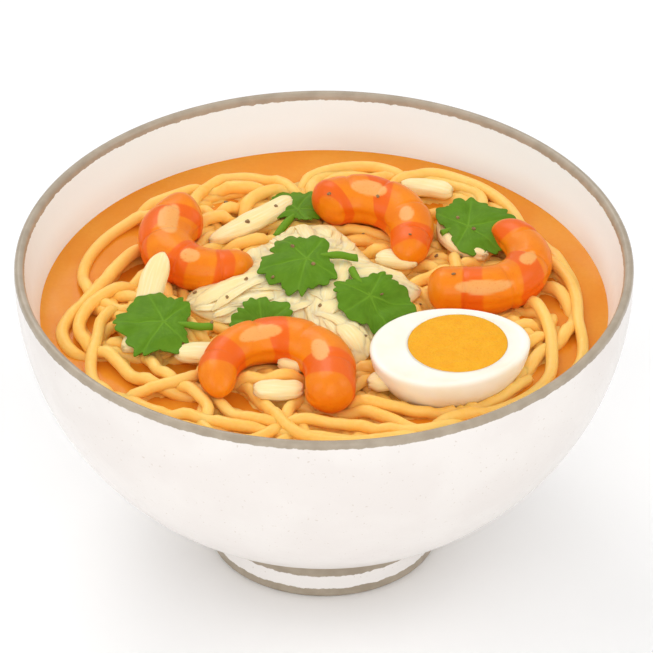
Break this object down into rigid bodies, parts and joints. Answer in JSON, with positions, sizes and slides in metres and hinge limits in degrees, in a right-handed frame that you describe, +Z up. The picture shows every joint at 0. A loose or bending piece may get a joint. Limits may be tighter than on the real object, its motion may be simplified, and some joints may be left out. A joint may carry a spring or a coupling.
{
  "type": "laksa noodle soup",
  "caption": "Deep ceramic bowl on a foot ring, filled with curry broth and noodles and topped with prawns, half an egg, chicken and coriander.",
  "frame": {"origin": "middle of the foot ring's flat underside, on the table", "axes": "+Z up out of the bowl, -Y towards the eater, +X to the eater's right"},
  "size_m": [0.2, 0.2, 0.1062],
  "materials": {
    "glaze": "glossy off-white glaze with a taupe line on the lip",
    "broth": "opaque orange curry broth, wet and glossy",
    "noodle": "smooth yellow noodles, wet",
    "chicken": "pale cream poached meat, moist",
    "prawn": "orange with red-orange bands, moist and glossy",
    "egg_white": "smooth, slightly glossy",
    "yolk": "golden yellow, matt",
    "coriander": "fresh green leaf, satin"
  },
  "bodies": {
    "root": {"bowl": "glaze", "broth": "broth", "noodles": "noodle", "chicken_heap": "chicken", "chicken_strip_1": "chicken", "chicken_strip_2": "chicken", "chicken_strip_3": "chicken", "chicken_strip_4": "chicken", "chicken_strip_5": "chicken", "chicken_strip_6": "chicken", "chicken_strip_7": "chicken", "chicken_strip_8": "chicken", "chicken_strip_9": "chicken", "chicken_strip_10": "chicken", "prawn_1": "prawn", "prawn_2": "prawn", "prawn_3": "prawn", "prawn_4": "prawn", "egg_white": "egg_white", "egg_yolk": "yolk", "coriander_1": "coriander", "coriander_2": "coriander", "coriander_3": "coriander", "coriander_4": "coriander", "coriander_5": "coriander", "coriander_6": "coriander"}
  },
  "joints": []
}
